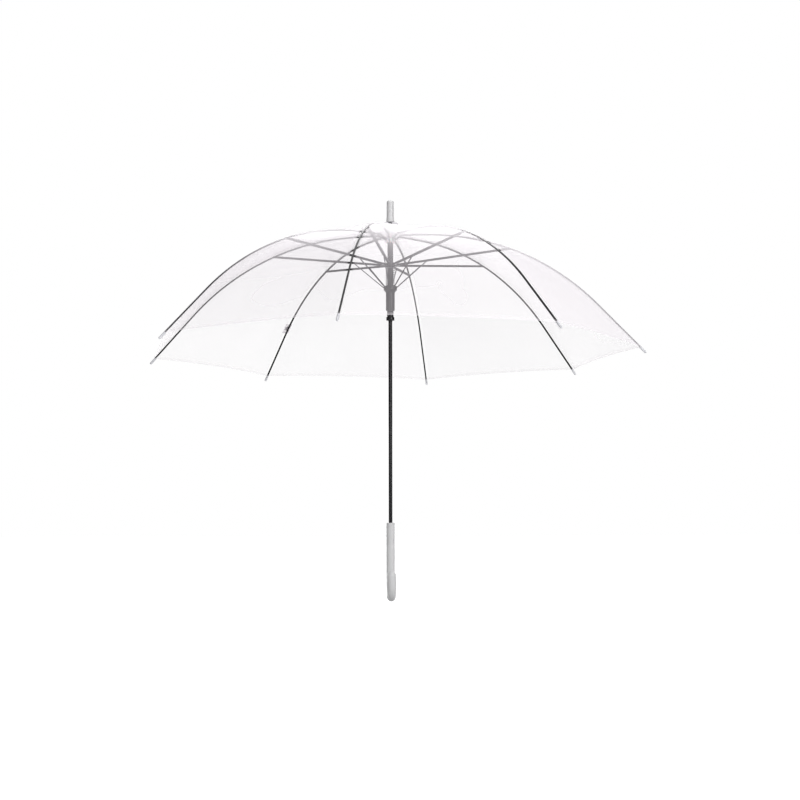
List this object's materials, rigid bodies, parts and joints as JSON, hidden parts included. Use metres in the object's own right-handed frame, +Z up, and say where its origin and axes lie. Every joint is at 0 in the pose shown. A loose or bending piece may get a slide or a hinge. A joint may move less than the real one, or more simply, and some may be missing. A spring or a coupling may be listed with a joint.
{
  "type": "umbrella",
  "caption": "Clear-film stick umbrella with a black steel frame, spring-assisted opening runner, push-button catch and hooked handle.",
  "frame": {"origin": "on the shaft's axis at the middle of the grip", "axes": "+Z up the shaft to the ferrule, -Y towards the hook's tip"},
  "size_m": [1.0314, 1.0314, 0.84],
  "materials": {
    "black_gloss_steel": "gloss black paint on a steel tube",
    "black_steel": "satin black paint on rolled steel channel",
    "black_plastic": "moulded black plastic",
    "white_plastic": "moulded pale plastic",
    "clear_plastic": "clear moulded plastic",
    "cap_plastic": "milky clear plastic",
    "grey_plastic": "satin pale grey moulded plastic",
    "button_plastic": "pale grey moulded plastic",
    "clear_film": "clear vinyl film with a faint haze",
    "band_film": "clear vinyl film, two layers",
    "snap_plastic": "pale plastic snap",
    "bright_steel": "bare steel wire",
    "spring_steel": "oiled spring steel"
  },
  "bodies": {
    "frame": {"shaft": "black_gloss_steel", "shaft_plug": "bright_steel", "ferrule": "grey_plastic", "rosette": "clear_plastic", "crown": "white_plastic", "crown_wire": "bright_steel", "stop_tube": "black_gloss_steel", "handle": "grey_plastic", "button_spring": "bright_steel", "canopy": "clear_film"},
    "upper_runner": {"upper_runner": "black_plastic", "upper_wire": "bright_steel", "main_spring": "spring_steel"},
    "lower_runner": {"lower_runner": "black_plastic"},
    "release_button": {"release_button": "button_plastic"},
    "catch": {"catch": "bright_steel"},
    "rib_1": {"rib_1": "black_steel"},
    "outer_rib_1": {"outer_rib_1": "black_steel", "tip_cap_1": "cap_plastic"},
    "stretcher_1": {"stretcher_1": "black_steel"},
    "strut_1": {"strut_1": "black_steel"},
    "rib_2": {"rib_2": "black_steel"},
    "outer_rib_2": {"outer_rib_2": "black_steel", "tip_cap_2": "cap_plastic"},
    "stretcher_2": {"stretcher_2": "black_steel"},
    "strut_2": {"strut_2": "black_steel"},
    "rib_3": {"rib_3": "black_steel"},
    "outer_rib_3": {"outer_rib_3": "black_steel", "tip_cap_3": "cap_plastic"},
    "stretcher_3": {"stretcher_3": "black_steel"},
    "strut_3": {"strut_3": "black_steel"},
    "rib_4": {"rib_4": "black_steel"},
    "outer_rib_4": {"outer_rib_4": "black_steel", "tip_cap_4": "cap_plastic"},
    "stretcher_4": {"stretcher_4": "black_steel"},
    "strut_4": {"strut_4": "black_steel"},
    "rib_5": {"rib_5": "black_steel"},
    "outer_rib_5": {"outer_rib_5": "black_steel", "tip_cap_5": "cap_plastic"},
    "stretcher_5": {"stretcher_5": "black_steel"},
    "strut_5": {"strut_5": "black_steel"},
    "rib_6": {"rib_6": "black_steel"},
    "outer_rib_6": {"outer_rib_6": "black_steel", "tip_cap_6": "cap_plastic", "tie_band": "band_film", "snap_stud": "snap_plastic"},
    "stretcher_6": {"stretcher_6": "black_steel"},
    "strut_6": {"strut_6": "black_steel"},
    "rib_7": {"rib_7": "black_steel"},
    "outer_rib_7": {"outer_rib_7": "black_steel", "tip_cap_7": "cap_plastic"},
    "stretcher_7": {"stretcher_7": "black_steel"},
    "strut_7": {"strut_7": "black_steel"},
    "rib_8": {"rib_8": "black_steel"},
    "outer_rib_8": {"outer_rib_8": "black_steel", "tip_cap_8": "cap_plastic"},
    "stretcher_8": {"stretcher_8": "black_steel"},
    "strut_8": {"strut_8": "black_steel"}
  },
  "joints": [
    {"name": "fold", "type": "hinge", "parent": "frame", "child": "rib_1", "pos_m": [-0.00155, -0.00703, 0.6435], "axis": [0.9767, -0.2147, 0], "range_deg": [0, 81.6], "stiffness_Nm_per_rad": 0.4, "springref_deg": -85.94, "deforming": ["canopy"]},
    {"name": "rib_flex_1", "type": "hinge", "parent": "rib_1", "child": "outer_rib_1", "pos_m": [-0.05433, -0.24712, 0.61683], "axis": [0.9767, -0.2147, 0], "range_deg": [-31.94, 0]},
    {"name": "stretcher_hinge_1", "type": "hinge", "parent": "rib_1", "child": "stretcher_1", "pos_m": [-0.05433, -0.24712, 0.61683], "axis": [0.9767, -0.2147, 0], "range_deg": [-163.8, 0]},
    {"name": "strut_hinge_1", "type": "hinge", "parent": "stretcher_1", "child": "strut_1", "pos_m": [-0.01692, -0.07694, 0.59792], "axis": [0.9767, -0.2147, 0], "range_deg": [0, 31.17]},
    {"name": "runner_slide_hinge", "type": "hinge", "parent": "stretcher_1", "child": "upper_runner", "pos_m": [-0.00155, -0.00703, 0.59015], "axis": [0.9767, -0.2147, 0], "range_deg": [0, 82.2]},
    {"name": "fold_2", "type": "hinge", "parent": "frame", "child": "rib_2", "pos_m": [0.00388, -0.00607, 0.6435], "axis": [0.8425, 0.5388, 0], "range_deg": [0, 82.2]},
    {"name": "rib_flex_2", "type": "hinge", "parent": "rib_2", "child": "outer_rib_2", "pos_m": [0.13632, -0.21316, 0.61683], "axis": [0.8425, 0.5388, 0], "range_deg": [-31.94, 0]},
    {"name": "stretcher_hinge_2", "type": "hinge", "parent": "rib_2", "child": "stretcher_2", "pos_m": [0.13632, -0.21316, 0.61683], "axis": [0.8425, 0.5388, 0], "range_deg": [-163.8, 0]},
    {"name": "strut_hinge_2", "type": "hinge", "parent": "stretcher_2", "child": "strut_2", "pos_m": [0.04244, -0.06637, 0.59792], "axis": [0.8425, 0.5388, 0], "range_deg": [0, 31.17]},
    {"name": "fold_3", "type": "hinge", "parent": "frame", "child": "rib_3", "pos_m": [0.00703, -0.00155, 0.6435], "axis": [0.2147, 0.9767, 0], "range_deg": [0, 82.2]},
    {"name": "rib_flex_3", "type": "hinge", "parent": "rib_3", "child": "outer_rib_3", "pos_m": [0.24712, -0.05433, 0.61683], "axis": [0.2147, 0.9767, 0], "range_deg": [-31.94, 0]},
    {"name": "stretcher_hinge_3", "type": "hinge", "parent": "rib_3", "child": "stretcher_3", "pos_m": [0.24712, -0.05433, 0.61683], "axis": [0.2147, 0.9767, 0], "range_deg": [-163.8, 0]},
    {"name": "strut_hinge_3", "type": "hinge", "parent": "stretcher_3", "child": "strut_3", "pos_m": [0.07694, -0.01692, 0.59792], "axis": [0.2147, 0.9767, 0], "range_deg": [0, 31.17]},
    {"name": "fold_4", "type": "hinge", "parent": "frame", "child": "rib_4", "pos_m": [0.00607, 0.00388, 0.6435], "axis": [-0.5388, 0.8425, 0], "range_deg": [0, 82.2]},
    {"name": "rib_flex_4", "type": "hinge", "parent": "rib_4", "child": "outer_rib_4", "pos_m": [0.21316, 0.13632, 0.61683], "axis": [-0.5388, 0.8425, 0], "range_deg": [-31.94, 0]},
    {"name": "stretcher_hinge_4", "type": "hinge", "parent": "rib_4", "child": "stretcher_4", "pos_m": [0.21316, 0.13632, 0.61683], "axis": [-0.5388, 0.8425, 0], "range_deg": [-163.8, 0]},
    {"name": "strut_hinge_4", "type": "hinge", "parent": "stretcher_4", "child": "strut_4", "pos_m": [0.06637, 0.04244, 0.59792], "axis": [-0.5388, 0.8425, 0], "range_deg": [0, 31.17]},
    {"name": "fold_5", "type": "hinge", "parent": "frame", "child": "rib_5", "pos_m": [0.00155, 0.00703, 0.6435], "axis": [-0.9767, 0.2147, 0], "range_deg": [0, 82.2]},
    {"name": "rib_flex_5", "type": "hinge", "parent": "rib_5", "child": "outer_rib_5", "pos_m": [0.05433, 0.24712, 0.61683], "axis": [-0.9767, 0.2147, 0], "range_deg": [-31.94, 0]},
    {"name": "stretcher_hinge_5", "type": "hinge", "parent": "rib_5", "child": "stretcher_5", "pos_m": [0.05433, 0.24712, 0.61683], "axis": [-0.9767, 0.2147, 0], "range_deg": [-163.8, 0]},
    {"name": "strut_hinge_5", "type": "hinge", "parent": "stretcher_5", "child": "strut_5", "pos_m": [0.01692, 0.07694, 0.59792], "axis": [-0.9767, 0.2147, 0], "range_deg": [0, 31.17]},
    {"name": "fold_6", "type": "hinge", "parent": "frame", "child": "rib_6", "pos_m": [-0.00388, 0.00607, 0.6435], "axis": [-0.8425, -0.5388, 0], "range_deg": [0, 82.2]},
    {"name": "rib_flex_6", "type": "hinge", "parent": "rib_6", "child": "outer_rib_6", "pos_m": [-0.13632, 0.21316, 0.61683], "axis": [-0.8425, -0.5388, 0], "range_deg": [-31.94, 0]},
    {"name": "stretcher_hinge_6", "type": "hinge", "parent": "rib_6", "child": "stretcher_6", "pos_m": [-0.13632, 0.21316, 0.61683], "axis": [-0.8425, -0.5388, 0], "range_deg": [-163.8, 0]},
    {"name": "strut_hinge_6", "type": "hinge", "parent": "stretcher_6", "child": "strut_6", "pos_m": [-0.04244, 0.06637, 0.59792], "axis": [-0.8425, -0.5388, 0], "range_deg": [0, 31.17]},
    {"name": "fold_7", "type": "hinge", "parent": "frame", "child": "rib_7", "pos_m": [-0.00703, 0.00155, 0.6435], "axis": [-0.2147, -0.9767, 0], "range_deg": [0, 82.2]},
    {"name": "rib_flex_7", "type": "hinge", "parent": "rib_7", "child": "outer_rib_7", "pos_m": [-0.24712, 0.05433, 0.61683], "axis": [-0.2147, -0.9767, 0], "range_deg": [-31.94, 0]},
    {"name": "stretcher_hinge_7", "type": "hinge", "parent": "rib_7", "child": "stretcher_7", "pos_m": [-0.24712, 0.05433, 0.61683], "axis": [-0.2147, -0.9767, 0], "range_deg": [-163.8, 0]},
    {"name": "strut_hinge_7", "type": "hinge", "parent": "stretcher_7", "child": "strut_7", "pos_m": [-0.07694, 0.01692, 0.59792], "axis": [-0.2147, -0.9767, 0], "range_deg": [0, 31.17]},
    {"name": "fold_8", "type": "hinge", "parent": "frame", "child": "rib_8", "pos_m": [-0.00607, -0.00388, 0.6435], "axis": [0.5388, -0.8425, 0], "range_deg": [0, 82.2]},
    {"name": "rib_flex_8", "type": "hinge", "parent": "rib_8", "child": "outer_rib_8", "pos_m": [-0.21316, -0.13632, 0.61683], "axis": [0.5388, -0.8425, 0], "range_deg": [-31.94, 0]},
    {"name": "stretcher_hinge_8", "type": "hinge", "parent": "rib_8", "child": "stretcher_8", "pos_m": [-0.21316, -0.13632, 0.61683], "axis": [0.5388, -0.8425, 0], "range_deg": [-163.8, 0]},
    {"name": "strut_hinge_8", "type": "hinge", "parent": "stretcher_8", "child": "strut_8", "pos_m": [-0.06637, -0.04244, 0.59792], "axis": [0.5388, -0.8425, 0], "range_deg": [0, 31.17]},
    {"name": "runner_gap_slide", "type": "slide", "parent": "upper_runner", "child": "lower_runner", "axis": [0, 0, 1], "range_m": [0, 0.03386], "deforming": ["main_spring"]},
    {"name": "button_press", "type": "slide", "parent": "frame", "child": "release_button", "axis": [0, -1, 0], "range_m": [0, 0.0024], "stiffness_N_per_m": 400, "springref_m": -0.001, "deforming": ["button_spring"]},
    {"name": "catch_release", "type": "slide", "parent": "frame", "child": "catch", "axis": [0, -1, 0], "range_m": [0, 0.00197]}
  ],
  "couplings": [
    {"joint": "rib_flex_1", "follows": "fold", "ratio": -0.38406},
    {"joint": "stretcher_hinge_1", "follows": "fold", "ratio": -2},
    {"joint": "strut_hinge_1", "follows": "fold", "ratio": 0.37461},
    {"joint": "runner_slide_hinge", "follows": "fold", "ratio": 1},
    {"joint": "fold_2", "follows": "fold", "ratio": 1},
    {"joint": "rib_flex_2", "follows": "fold", "ratio": -0.38406},
    {"joint": "stretcher_hinge_2", "follows": "fold", "ratio": -2},
    {"joint": "strut_hinge_2", "follows": "fold", "ratio": 0.37461},
    {"joint": "fold_3", "follows": "fold", "ratio": 1},
    {"joint": "rib_flex_3", "follows": "fold", "ratio": -0.38406},
    {"joint": "stretcher_hinge_3", "follows": "fold", "ratio": -2},
    {"joint": "strut_hinge_3", "follows": "fold", "ratio": 0.37461},
    {"joint": "fold_4", "follows": "fold", "ratio": 1},
    {"joint": "rib_flex_4", "follows": "fold", "ratio": -0.38406},
    {"joint": "stretcher_hinge_4", "follows": "fold", "ratio": -2},
    {"joint": "strut_hinge_4", "follows": "fold", "ratio": 0.37461},
    {"joint": "fold_5", "follows": "fold", "ratio": 1},
    {"joint": "rib_flex_5", "follows": "fold", "ratio": -0.38406},
    {"joint": "stretcher_hinge_5", "follows": "fold", "ratio": -2},
    {"joint": "strut_hinge_5", "follows": "fold", "ratio": 0.37461},
    {"joint": "fold_6", "follows": "fold", "ratio": 1},
    {"joint": "rib_flex_6", "follows": "fold", "ratio": -0.38406},
    {"joint": "stretcher_hinge_6", "follows": "fold", "ratio": -2},
    {"joint": "strut_hinge_6", "follows": "fold", "ratio": 0.37461},
    {"joint": "fold_7", "follows": "fold", "ratio": 1},
    {"joint": "rib_flex_7", "follows": "fold", "ratio": -0.38406},
    {"joint": "stretcher_hinge_7", "follows": "fold", "ratio": -2},
    {"joint": "strut_hinge_7", "follows": "fold", "ratio": 0.37461},
    {"joint": "fold_8", "follows": "fold", "ratio": 1},
    {"joint": "rib_flex_8", "follows": "fold", "ratio": -0.38406},
    {"joint": "stretcher_hinge_8", "follows": "fold", "ratio": -2},
    {"joint": "strut_hinge_8", "follows": "fold", "ratio": 0.37461},
    {"joint": "runner_gap_slide", "follows": "fold", "m_per_rad": 0.023563},
    {"joint": "catch_release", "follows": "button_press", "ratio": 0.8}
  ]
}
